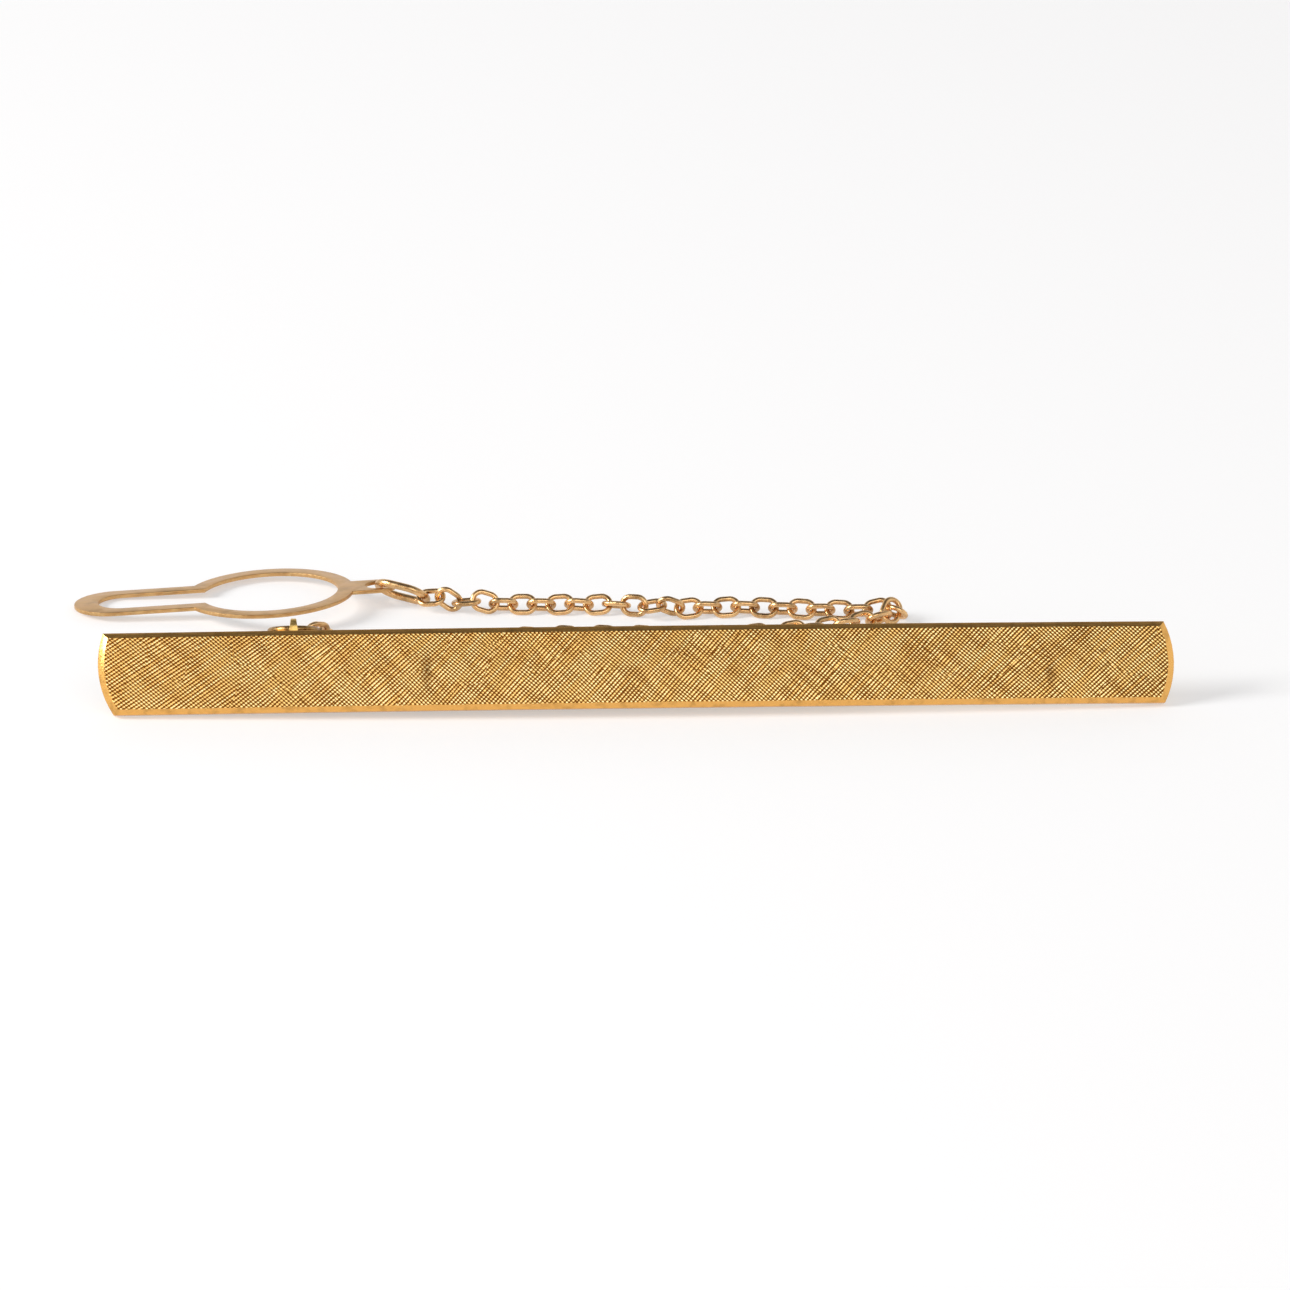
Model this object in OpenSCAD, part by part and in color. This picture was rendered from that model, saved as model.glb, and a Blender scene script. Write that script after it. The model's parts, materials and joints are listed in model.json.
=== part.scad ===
// Tie clip: a bowed, bevelled face bar with a sprung clip soldered to its back,
// and a cable chain that ends in a keyhole loop for a shirt button.
// It lies as it was put down: the bar leans back on its clip and the chain is
// folded on the table behind it. Millimetres, +Z up, +X to the right end.

/* [Face bar] */
// Length of the face bar from end to end
bar_l = 65; // [58:0.5:72]
// Width of the face bar across its long edges
bar_w = 4.95; // [4.8:0.05:6.5]
// Thickness of the face bar
bar_t = 0.9; // [0.7:0.05:1.2]
// How far the middle of the bar bows forward of its ends
bar_bow = 1; // [0.7:0.05:1.3]
// Width of the bevels along the two long edges
bevel_w = 0.32; // [0.15:0.01:0.45]
// Width of the bevels on the two rounded ends
end_bevel_w = 0.43; // [0.2:0.01:0.6]
// Depth of the bevels, measured back from the face
bevel_d = 0.3; // [0.15:0.01:0.45]
// Radius of the left end's arc
left_end_r = 5.6; // [4.2:0.1:8]
// How far the left end's arc is centred above the middle of the bar's width
left_end_up = 0.6; // [0:0.1:0.8]
// Radius of the right end's arc
right_end_r = 5.5; // [3.6:0.1:8]

/* [Clip base and hinge] */
// Thickness of the sheet that the base and its ears are made of
base_t = 0.4; // [0.3:0.05:0.5]
// Thickness of the solder between the plate and the base
solder_t = 0.02; // [0.01:0.01:0.04]
// Distance from the bar's middle to the base's left end
base_left = 27.4; // [26:0.2:28]
// Distance from the bar's middle to the base's right end
base_right = 17; // [16:0.2:22]
// Height of the clip's centre line above the bar's centre line
clip_up = 0.55; // [0.4:0.05:0.6]
// Width over the outsides of the two ears
ear_span = 3.9; // [3.8:0.05:4]
// Radius of the ears round the hinge
ear_r = 1.25; // [1.1:0.05:1.4]
// How far each ear runs on to the right of the hinge, under the chain lug
ear_run = 2.7; // [2.5:0.05:3]
// Distance of the hinge from the bar's middle
hinge_left = 22.6; // [22:0.1:23]
// Height of the hinge axis above the base strip
hinge_h = 1.07; // [1:0.01:1.15]
// Radius of the hinge pin
pin_r = 0.4; // [0.3:0.01:0.42]
// Radius of the pin's riveted heads
head_r = 0.46; // [0.43:0.01:0.48]
// Height of the pin's riveted heads
head_h = 0.12; // [0.08:0.01:0.15]
// Radial clearance of the pin in the ears
ear_play = 0.02; // [0.01:0.005:0.04]

/* [Jaw lever] */
// Thickness of the lever's sheet
lever_t = 0.4; // [0.3:0.05:0.45]
// Play between the lever and each ear
side_play = 0.05; // [0.03:0.01:0.08]
// Radial running clearance of the lever on its pin
pin_play = 0.04; // [0.02:0.005:0.06]
// Length from the hinge to the jaw's tip
jaw_l = 37.6; // [36:0.2:39]
// Height of the jaw's side walls at its tip, over the teeth
jaw_tip_h = 0.8; // [0.7:0.05:1]
// Gap that the closed teeth leave over the base at the tip
jaw_gap = 0.05; // [0.03:0.01:0.08]
// Pitch of the jaw's teeth
tooth_pitch = 1; // [0.8:0.05:1.4]
// Height of the jaw's teeth
tooth_h = 0.35; // [0.25:0.01:0.4]
// Number of teeth on each side wall
teeth = 12; // [8:1:14]
// Height of the lever's back over the hinge axis
back_h = 1.35; // [1.3:0.01:1.4]
// Length from the hinge to the thumb tab's end
tab_l = 7.6; // [7:0.1:8]
// Width of the thumb tab
tab_w = 2.4; // [2:0.1:2.6]
// Height of the thumb tab's end over the hinge axis
tab_h = 2.15; // [2:0.01:2.2]
// Number of grip ribs across the thumb tab
grip_ribs = 4; // [2:1:5]
// Radius of a grip rib
rib_r = 0.13; // [0.1:0.01:0.16]
// Pitch of the grip ribs
rib_pitch = 0.75; // [0.6:0.05:0.9]

/* [Torsion spring] */
// Diameter of the spring's wire
spring_wire = 0.3; // [0.24:0.01:0.32]
// Radius of the coil, to the middle of its wire
coil_r = 0.65; // [0.62:0.01:0.68]
// Pitch of the coil
coil_pitch = 0.72; // [0.71:0.005:0.73]
// Length of the spring's two legs
spring_leg = 4.4; // [3.5:0.1:5]

/* [Chain lug and ring] */
// Thickness of the lug
lug_t = 0.55; // [0.45:0.05:0.65]
// Distance from the lug to the right of the hinge
lug_right = 1.9; // [1.8:0.05:2]
// Radius of the lug's hole
lug_hole_r = 0.26; // [0.24:0.01:0.3]
// Wall of the lug round its hole
lug_wall = 0.36; // [0.3:0.01:0.45]
// Diameter of the lug ring's wire
ring_wire = 0.4; // [0.36:0.01:0.42]
// Radius of the lug ring, to the middle of its wire
ring_r = 1.4; // [1.3:0.05:1.5]
// Gap under the ring where it lies on the ear
ring_gap = 0.04; // [0.02:0.01:0.06]

/* [Chain] */
// Length of one link over its outside
link_l = 1.89; // [1.86:0.01:1.92]
// Width of one link over its outside
link_w = 1.44; // [1.4:0.01:1.5]
// Diameter of the links' wire
link_wire = 0.33; // [0.31:0.01:0.34]
// Play between the wires of two links
link_play = 0.05; // [0.035:0.005:0.05]

/* [End ring and button loop] */
// Length of the oval end ring over its outside
end_ring_l = 3.7; // [3.5:0.05:3.8]
// Width of the oval end ring over its outside
end_ring_w = 2.7; // [2.6:0.05:2.75]
// Diameter of the end ring's wire
end_ring_wire = 0.48; // [0.44:0.01:0.48]
// Thickness of the loop's sheet
loop_t = 0.25; // [0.2:0.01:0.35]
// Outer radius of the loop's round part
loop_r = 5.3; // [5.1:0.05:5.5]
// Width of the loop's rim round its round opening
loop_rim = 1; // [0.8:0.05:1.1]
// Outer width of the loop's slotted part
slot_w = 5; // [4.6:0.05:5.2]
// Width of the rails beside the slot
slot_rail = 0.95; // [0.8:0.05:1.1]
// Width of the wall at the slot's closed end
slot_end = 1.5; // [1.2:0.05:1.8]
// Length from the slot's closed end to the middle of the round part
slot_l = 12.2; // [11.8:0.1:12.6]
// Distance from the middle of the round part to the eye
eye_out = 6.8; // [6.6:0.05:7]
// Outer radius of the eye
eye_r = 1.2; // [1.15:0.05:1.25]
// Radius of the eye's hole
eye_hole_r = 0.8; // [0.78:0.01:0.84]

/* [Hidden] */
CHAIN_NODES = 12;
LINKS_A_NODE = 5;
LINKS = CHAIN_NODES * LINKS_A_NODE;
function chain_name(i) = str("chain_links_", i < 9 ? "0" : "", i + 1);

// Overrun of every cut past the solid it cuts
over = 0.2;
// Gap between the table and what lies lowest on it
table_gap = 0.01;
// Smoothness of wires, of small round parts and of the bar's long bow
WIRE_FN = 24;
ROUND_FN = 64;
BOW_FN = 1440;

// The bar's bow is an arc whose axis runs across the bar, behind it.
// Places on the bar are given along it (x), behind its face (y) and up its face (z).
half_l = bar_l / 2;
half_w = bar_w / 2;
bow_r = (half_l * half_l + bar_bow * bar_bow) / (2 * bar_bow);
base_in = bar_t + solder_t;
base_out = base_in + base_t;
// Depth behind the middle of the face of a layer that starts t behind the face, at a place x along the bar
function layer_d(x, t) = bow_r - sqrt((bow_r - t) * (bow_r - t) - x * x);
function arc_sag(r, half_chord) = r - sqrt(r * r - half_chord * half_chord);

// Clip
hinge_x = -hinge_left;
hinge_d = layer_d(hinge_x, base_out) + hinge_h;
ear_top = clip_up + ear_span / 2;
ear_foot_d = layer_d(hinge_x - ear_r, base_in) + base_t / 4;
ear_run_d = hinge_d + ear_r / 2;
ear_corner = ear_r / 3;

// Chain lug and its ring, which lies on the upper ear
lug_x = hinge_x + lug_right;
lug_r = lug_hole_r + lug_wall;
ring_z = ear_top + ring_gap + ring_wire / 2;
ring_front_d = hinge_d - ear_r / 4;
ring_mid = [lug_x, ring_front_d + ring_r, ring_z];

// The lean: the plate's lower back edge and the rearmost point of the lower ear stand on the table
foot_x = half_l - arc_sag(right_end_r, half_w);
foot_d = layer_d(foot_x, bar_t);
rest_d = hinge_d + ear_r;
rest_z = clip_up - ear_span / 2;
lean = atan2(rest_z + half_w, rest_d - foot_d);
// A direction and a place on the bar, turned and set down with it
function leant(v) = [v.x, v.y * cos(lean) + v.z * sin(lean), v.z * cos(lean) - v.y * sin(lean)];
function stood(p) = leant(p - [0, foot_d, -half_w]);

// Jaw lever, measured from the hinge axis
lever_w = ear_span - 2 * base_t - 2 * side_play;
tooth_line = layer_d(hinge_x + jaw_l, base_out) + jaw_gap - hinge_d;
root_line = tooth_line + tooth_h;
tooth_start = jaw_l - teeth * tooth_pitch;
back_left = -ear_r;
back_right = 2 * ear_r;
wall_left = -0.7 * ear_r;
wall_low = -0.55 * hinge_h;
jaw_tip_b = root_line + jaw_tip_h;
jaw_corner = lever_w / 6;

// Torsion spring: one leg on the base, a coil round the pin, one leg under the thumb tab
COIL_STEPS = 8;
SPRING_SIDES = 6;
leg_angle = 5.5;
coil_turn = 2.5 * 360 - leg_angle;
coil_half = coil_pitch * coil_turn / 720;
function coil_point(a) = [coil_r * cos(a - 90), coil_r * sin(a - 90), coil_pitch * a / 360 - coil_half];
coil_count = ceil(COIL_STEPS * coil_turn / 360);
coil_points = [for (i = [0:coil_count]) coil_point(coil_turn * i / coil_count)];
spring_path = concat(
    [for (f = [1, 0.5]) coil_points[0] - [spring_leg * f, 0, 0]],
    coil_points,
    [for (f = [0.5, 1]) coil_points[coil_count] + spring_leg * f * [-cos(leg_angle), sin(leg_angle), 0]]
);
spring_gap = min([
    for (i = [0:coil_count - COIL_STEPS / 2]) for (j = [i + COIL_STEPS / 2:coil_count])
        norm(coil_points[i] - coil_points[j])
]) - spring_wire;
echo("least gap of the spring's wire to itself", spring_gap);

function unit(v) = v / norm(v);
function clamp(x, low, high) = max(low, min(high, x));
// A heading from its turn to the left of +X and its rise, and the level direction on its left
function heading(turn, rise) = [cos(turn) * cos(rise), sin(turn) * cos(rise), sin(rise)];
function side_of(h) = unit(cross([0, 0, 1], h));
// The normal square to h that stands up from the level by roll
function rolled_normal(h, roll) = side_of(h) * cos(roll) + cross(h, side_of(h)) * sin(roll);
// Height of the lowest point of a link or ring
function lowest(c, h, n, run, arm, wire) = c.z - run * abs(h.z) - arm * sqrt(1 - n.z * n.z) - wire / 2;

// Chain: a link is [middle, heading, normal, place where it holds the one before].
// Each heading's turn comes from the table, in degrees by link number.
TURNS = [
    [0, 38.4], [3, 36.3], [8, 21], [14, 1.3], [19, -5.3], [22, -1.8], [24, 8.6], [26, 11.9], [28, 18.5],
    [30, 22.7], [32, 32.3], [33, 62.7], [34, 138.4], [35, 183.7], [36, 180.6], [38, 170.4], [41, 171.2],
    [44, 187.3], [47, 187.8], [48, 159.7], [49, 155.7], [50, 178], [51, 180.8], [53, 177], [56, 176],
    [60, 168]
];
// Each link stands at 45 degrees, at right angles to its neighbours, but for two short stretches
// that are twisted by a quarter turn. The table gives the twist in degrees by link number.
TWISTS = [[45, 0], [50, 90], [55, 90], [60, 0]];
// How far some links are held up off the table by their neighbours, as shares of the wire's diameter
lift_shares = [
    [3, 0], [4, 0.2], [5, 0], [31, 0], [32, 0.1], [33, 0.4], [34, 0], [45, 0], [46, 0.05], [47, 0.2], [48, 0],
    [57, 0], [59, 0.25]
];
// Where round the lug ring the first link holds it, counted from the bar's right
hold_angle = 38;
// How far the first link leans back from standing upright on the lug ring
first_roll_angle = 35;
// The steepest climb of a link, and a table of the steepest drop in degrees by link number.
// The first links hang from the ring and drop the most.
climb_angle = 40;
DROPS = [[5, 32], [6, 12], [44, 12], [45, 6]];
// How far two neighbours bend and roll at most
bend_angle = 40;
roll_angle = 20;
link_arm = (link_w - link_wire) / 2;
link_run = (link_l - link_w) / 2;
link_reach = link_l / 2 - 1.5 * link_wire - link_play;

// A normal square to h and nearly to the link before, rolled a little towards the way it should stand
function next_normal(before, h, twist) = let (
    m = unit(cross(before, h)),
    roll = atan2(m * cross(h, side_of(h)), m * side_of(h)),
    t = clamp(45 - (roll - twist + 720) % 90, -roll_angle, roll_angle)
) m * cos(t) + cross(h, m) * sin(t);
// Where a ring with normal n takes hold of a link's round end
function hold_on(link, n) = let (across = unit(cross(n, link[2])))
    link[0] + link_run * link[1] + link_arm * across * sign(across * link[1]);
function next_link(link, turn, twist, rise) = let (
    h = heading(turn, rise),
    n = next_normal(link[2], h, twist),
    hold = hold_on(link, n)
) [hold + link_reach * h, h, n, hold];
// Halves a span of slopes until the next link just clears the table
function laid(link, turn, twist, gap, low, high, tries) = let (
    rise = (low + high) / 2,
    new = next_link(link, turn, twist, rise),
    clear = lowest(new[0], new[1], new[2], link_run, link_arm, link_wire) > gap
) tries == 0 ? new : laid(link, turn, twist, gap, clear ? low : rise, clear ? rise : high, tries - 1);
function follow(link, k) = let (
    rise = asin(link[1].z),
    low = max(-lookup(k, DROPS), rise - bend_angle),
    high = min(climb_angle, rise + bend_angle),
    gap = table_gap + link_wire * lookup(k, lift_shares)
) laid(link, lookup(k, TURNS), lookup(k, TWISTS), gap, low, high, 16);

first_turn = [cos(hold_angle), sin(hold_angle), 0];
ring_hold = stood(ring_mid + ring_r * first_turn);
first_link = [
    ring_hold + leant(first_turn) * (link_l / 2 - link_wire - ring_wire / 2 - link_play),
    leant(first_turn),
    leant(rolled_normal(first_turn, first_roll_angle)),
    ring_hold
];
links = [for (k = 0, s = first_link; k < LINKS; k = k + 1, s = follow(s, k)) s];

// End ring, which holds the last link
end_angle = 155;
end_roll_angle = 130;
end_arm = (end_ring_w - end_ring_wire) / 2;
end_run = (end_ring_l - end_ring_w) / 2;
end_reach = end_ring_l / 2 - end_ring_wire - link_wire / 2 - link_play;
function end_at(rise) = let (
    h = heading(end_angle, rise),
    n = rolled_normal(h, end_roll_angle),
    hold = hold_on(links[LINKS - 1], n)
) [hold + end_reach * h, h, n, hold];
function end_laid(low, high, tries) = let (
    rise = (low + high) / 2,
    new = end_at(rise),
    clear = lowest(new[0], new[1], new[2], end_run, end_arm, end_ring_wire) > table_gap
) tries == 0 ? new : end_laid(clear ? low : rise, clear ? rise : high, tries - 1);
end_link = end_laid(-lookup(LINKS, DROPS), climb_angle, 16);

// Button loop: its eye hangs on the end ring and its slot's closed end lies on the table
loop_angle = 1.5;
loop_roll_angle = -4.5;
eye_shift = eye_hole_r / 10;
loop_hold = end_link[0] + (end_run + end_arm) * end_link[1];
slot_r = slot_w / 2;
slot_reach = slot_l - slot_r + eye_out;
function loop_dir(rise) = heading(loop_angle, rise);
function loop_normal(rise) = rolled_normal(loop_dir(rise), 90 + loop_roll_angle);
function loop_eye(rise) = loop_hold - eye_shift * loop_dir(rise);
function loop_low(rise) = let (n = loop_normal(rise))
    loop_eye(rise).z - slot_reach * sin(rise) - slot_r * sqrt(1 - n.z * n.z) - loop_t / 2 * n.z;
function loop_laid(low, high, tries) = let (rise = (low + high) / 2)
    tries == 0 ? rise : loop_low(rise) > table_gap
        ? loop_laid(rise, high, tries - 1)
        : loop_laid(low, rise, tries - 1);
loop_rise = loop_laid(-10, 20, 20);
loop_h = loop_dir(loop_rise);
loop_n = loop_normal(loop_rise);
loop_mid = loop_eye(loop_rise) - eye_out * loop_h;

// The middle of the whole thing's box, which is set over the origin
end_lean = asin((half_l - right_end_r) / bow_r);
x_high = (bow_r - bevel_d) * sin(end_lean) + right_end_r * cos(end_lean);
x_low = (loop_mid - (slot_l - slot_r) * loop_h).x - slot_r * sqrt(1 - loop_n.x * loop_n.x)
    - loop_t / 2 * abs(loop_n.x);
y_low = min(stood([0, 0, bevel_w - half_w]).y, stood([0, bevel_d, -half_w]).y);
y_high = loop_mid.y + loop_r * sqrt(1 - loop_n.y * loop_n.y) + loop_t / 2 * abs(loop_n.y);
middle = [(x_low + x_high) / 2, (y_low + y_high) / 2, 0];

module placed() { translate(-middle) children(); }
module on_bar() { placed() rotate([-lean, 0, 0]) translate([0, -foot_d, half_w]) children(); }
module at_hinge() { on_bar() translate([hinge_x, hinge_d, clip_up]) children(); }
// Sets a child's +X along h and its +Z along n, with its origin at c
module facing(c, h, n) {
    b = cross(n, h);
    placed()
        multmatrix([[h.x, b.x, n.x, c.x], [h.y, b.y, n.y, c.y], [h.z, b.z, n.z, c.z], [0, 0, 0, 1]])
            children();
}

// A profile swept along the bar's bow, with its first coordinate measured from the bow's axis
module bowed(profile, from, to) {
    start = asin(from / bow_r);
    translate([0, bow_r, 0])
        rotate([0, 0, start - 90])
            rotate_extrude(angle = asin(to / bow_r) - start, $fn = BOW_FN)
                polygon(profile);
}

// A flat outline, drawn along and up the bar, extruded straight back through the bow
module through_bar() {
    translate([0, -over, 0])
        rotate([90, 0, 0])
            mirror([0, 0, 1])
                linear_extrude(base_out + 4 * bar_bow + 2 * over)
                    children();
}

// What lies inside one arc-shaped bevelled end, centred up above the bar's middle:
// side is 1 at the right end and -1 at the left
module end_keep(r, side, up = 0) {
    depth = bar_t + 4 * bar_bow;
    translate([0, bow_r, 0])
        rotate([0, 0, side * asin((half_l - r) / bow_r)])
            translate([0, -bow_r, up])
                rotate([-90, 0, 0]) {
                    cylinder(r1 = r - end_bevel_w, r2 = r, h = bevel_d, $fn = 4 * ROUND_FN);
                    translate([0, 0, bevel_d])
                        cylinder(r = r, h = depth, $fn = 4 * ROUND_FN);
                    translate([side > 0 ? -bar_l : 0, -bar_w, -over])
                        cube([bar_l, 2 * bar_w, depth + over]);
                }
}

module face_bar() {
    color("goldenrod")
        on_bar()
            intersection() {
                bowed([
                    [bow_r - bar_t, -half_w], [bow_r - bevel_d, -half_w], [bow_r, bevel_w - half_w],
                    [bow_r, half_w - bevel_w], [bow_r - bevel_d, half_w], [bow_r - bar_t, half_w]
                ], -half_l - over, half_l + over);
                end_keep(left_end_r, -1, left_end_up);
                end_keep(right_end_r, 1);
            }
}

module ear_outline() {
    difference() {
        union() {
            circle(ear_r, $fn = ROUND_FN);
            translate([-ear_r, ear_foot_d - hinge_d])
                square([ear_r + ear_run, hinge_d - ear_foot_d]);
            square([ear_run - ear_corner, ear_run_d - hinge_d]);
            square([ear_run, ear_run_d - hinge_d - ear_corner]);
            translate([ear_run - ear_corner, ear_run_d - hinge_d - ear_corner])
                circle(ear_corner, $fn = ROUND_FN);
        }
        circle(pin_r + ear_play, $fn = ROUND_FN);
    }
}

module clip_base() {
    low = clip_up - ear_span / 2;
    color("darkgoldenrod") {
        on_bar()
            intersection() {
                bowed([
                    [bow_r - base_out, low], [bow_r - base_in, low],
                    [bow_r - base_in, ear_top], [bow_r - base_out, ear_top]
                ], -base_left - over, base_right + over);
                through_bar() {
                    translate([-base_left, low])
                        square([base_left + base_right - ear_span / 2, ear_span]);
                    translate([base_right - ear_span / 2, clip_up])
                        circle(ear_span / 2, $fn = 2 * ROUND_FN);
                }
            }
        at_hinge()
            for (z = [-ear_span / 2, ear_span / 2 - base_t])
                translate([0, 0, z])
                    linear_extrude(base_t)
                        ear_outline();
    }
}

// An arch on the upper ear, a little narrower at its top
module chain_lug() {
    height = ring_z + lug_r - ear_top;
    color("goldenrod")
        on_bar()
            translate([lug_x, ring_front_d, ear_top])
                intersection() {
                    rotate([90, 0, 90])
                        translate([0, 0, -lug_t / 2])
                            linear_extrude(lug_t)
                                difference() {
                                    union() {
                                        translate([0, ring_z - ear_top])
                                            circle(lug_r, $fn = ROUND_FN);
                                        translate([-lug_r, 0])
                                            square([2 * lug_r, ring_z - ear_top]);
                                    }
                                    translate([0, ring_z - ear_top])
                                        circle(lug_hole_r, $fn = ROUND_FN);
                                    translate([-lug_hole_r, -over])
                                        square([2 * lug_hole_r, ring_z - ear_top + over]);
                                }
                    rotate([90, 0, 0])
                        translate([0, 0, -lug_r - over])
                            linear_extrude(2 * (lug_r + over))
                                polygon([
                                    [-lug_t / 2, 0], [lug_t / 2, 0],
                                    [lug_t / 4, height + over], [-lug_t / 4, height + over]
                                ]);
                }
}

module hinge_pin() {
    color("khaki")
        at_hinge() {
            translate([0, 0, -ear_span / 2])
                cylinder(r = pin_r, h = ear_span, $fn = ROUND_FN);
            for (turn = [0, 180])
                rotate([turn, 0, 0])
                    translate([0, 0, ear_span / 2])
                        cylinder(r1 = head_r, r2 = head_r - head_h, h = head_h, $fn = ROUND_FN);
        }
}

module lever_wall() {
    mid = lever_t / 2;
    polygon(concat(
        [[wall_left, back_h - mid], [wall_left, wall_low], [ear_r, root_line]],
        [for (i = [0:teeth - 1]) for (p = [[0, 0], [0.5, 1]])
            [tooth_start + (i + p.x) * tooth_pitch, root_line - p.y * tooth_h]],
        [[jaw_l, root_line], [jaw_l, jaw_tip_b - mid], [back_right, back_h - mid]]
    ));
}

module jaw_lever() {
    color("goldenrod")
        at_hinge()
            difference() {
                union() {
                    intersection() {
                        translate([0, 0, -lever_w / 2])
                            linear_extrude(lever_w)
                                polygon([
                                    [-tab_l, tab_h], [back_left, back_h], [back_right, back_h],
                                    [jaw_l, jaw_tip_b],
                                    [jaw_l, jaw_tip_b - lever_t], [back_right, back_h - lever_t],
                                    [back_left, back_h - lever_t], [-tab_l, tab_h - lever_t]
                                ]);
                        rotate([90, 0, 0])
                            translate([0, 0, -tab_h - over])
                                linear_extrude(2 * (tab_h + over))
                                    lever_plan();
                    }
                    for (z = [-lever_w / 2, lever_w / 2 - lever_t])
                        translate([0, 0, z])
                            linear_extrude(lever_t)
                                lever_wall();
                    for (i = [0:grip_ribs - 1])
                        grip_rib(tab_w / 3 + i * rib_pitch);
                }
                translate([0, 0, -lever_w / 2 - over])
                    cylinder(r = pin_r + pin_play, h = lever_w + 2 * over, $fn = ROUND_FN);
            }
}

// The lever's back from above: a round thumb tab, square shoulders and round jaw corners
module lever_plan() {
    translate([tab_w / 2 - tab_l, 0])
        circle(tab_w / 2, $fn = ROUND_FN);
    translate([tab_w / 2 - tab_l, -tab_w / 2])
        square([tab_l, tab_w]);
    translate([back_left, -lever_w / 2])
        square([jaw_l - back_left - jaw_corner, lever_w]);
    for (side = [-1, 1])
        translate([jaw_l - jaw_corner, side * (lever_w / 2 - jaw_corner)])
            circle(jaw_corner, $fn = ROUND_FN);
    translate([jaw_l - 2 * jaw_corner, jaw_corner - lever_w / 2])
        square([2 * jaw_corner, lever_w - 2 * jaw_corner]);
}

// A half-round rib across the thumb tab, at a distance from the tab's end
module grip_rib(from_end) {
    slope = (tab_h - back_h) / (tab_l + back_left);
    translate([from_end - tab_l, tab_h - slope * from_end, -tab_w / 3])
        cylinder(r = rib_r, h = 2 * tab_w / 3, $fn = WIRE_FN);
}

// A closed tube of triangles along points, whose rings never turn about the tube
module tube(path, r, sides) {
    last = len(path) - 1;
    points = [
        for (i = [0:last]) let (
            t = unit(path[min(i + 1, last)] - path[max(i - 1, 0)]),
            a = unit(cross(t, [0, 0, 1])),
            b = cross(t, a)
        ) for (j = [0:sides - 1]) path[i] + r * (cos(360 * j / sides) * a + sin(360 * j / sides) * b)
    ];
    walls = [
        for (i = [0:last - 1]) for (j = [0:sides - 1]) let (
            p = i * sides + j,
            q = i * sides + (j + 1) % sides
        ) each [[p, q, q + sides], [p, q + sides, p + sides]]
    ];
    caps = [for (j = [1:sides - 2]) each [[0, j + 1, j], last * sides * [1, 1, 1] + [0, j, j + 1]]];
    polyhedron(points, concat(walls, caps));
}

module torsion_spring() {
    color("silver")
        at_hinge()
            tube(spring_path, spring_wire / 2, SPRING_SIDES);
}

module lug_ring() {
    color("goldenrod")
        on_bar()
            translate(ring_mid)
                rotate_extrude($fn = ROUND_FN)
                    translate([ring_r, 0])
                        circle(ring_wire / 2, $fn = WIRE_FN);
}

// A wire ring with two straight sides: run is half a side, arm the radius of its ends
module wire_oval(run, arm, wire) {
    for (turn = [0, 180])
        rotate([0, 0, turn]) {
            translate([run, 0, 0])
                rotate([0, 0, -90])
                    rotate_extrude(angle = 180, $fn = 2 * WIRE_FN)
                        translate([arm, 0])
                            circle(wire / 2, $fn = WIRE_FN);
            translate([-run, arm, 0])
                rotate([0, 90, 0])
                    cylinder(r = wire / 2, h = 2 * run, $fn = WIRE_FN);
        }
}

module chain_links(i) {
    color("goldenrod")
        for (k = [i * LINKS_A_NODE:(i + 1) * LINKS_A_NODE - 1])
            facing(links[k][0], links[k][1], links[k][2])
                wire_oval(link_run, link_arm, link_wire);
}

module end_ring() {
    color("gold")
        facing(end_link[0], end_link[1], end_link[2])
            wire_oval(end_run, end_arm, end_ring_wire);
}

module loop_outline() {
    open_r = loop_r - loop_rim;
    slot_open_r = slot_r - slot_rail;
    difference() {
        union() {
            circle(loop_r, $fn = 2 * ROUND_FN);
            translate([slot_r - slot_l, 0])
                circle(slot_r, $fn = ROUND_FN);
            translate([slot_r - slot_l, -slot_r])
                square([slot_l - slot_r, slot_w]);
            translate([eye_out, 0])
                circle(eye_r, $fn = ROUND_FN);
            translate([0, -eye_r])
                square([eye_out, 2 * eye_r]);
        }
        circle(open_r, $fn = 2 * ROUND_FN);
        translate([slot_end + slot_open_r - slot_l, 0])
            circle(slot_open_r, $fn = ROUND_FN);
        translate([slot_end + slot_open_r - slot_l, -slot_open_r])
            square([slot_l - slot_end - slot_open_r, 2 * slot_open_r]);
        translate([eye_out, 0])
            circle(eye_hole_r, $fn = ROUND_FN);
    }
}

module button_loop() {
    color("tan")
        facing(loop_mid, loop_h, loop_n)
            translate([0, 0, -loop_t / 2])
                linear_extrude(loop_t)
                    loop_outline();
}

face_bar();
clip_base();
chain_lug();
hinge_pin();
jaw_lever();
torsion_spring();
lug_ring();
for (i = [0:CHAIN_NODES - 1]) chain_links(i);
end_ring();
button_loop();
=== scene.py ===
"""Finishes and studio for a tie bar: its engraved plate, sprung clip, chain and button loop."""

import json
import math

import bpy
from bpy.props import FloatProperty, FloatVectorProperty, PointerProperty
from mathutils import Matrix, Vector

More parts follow.
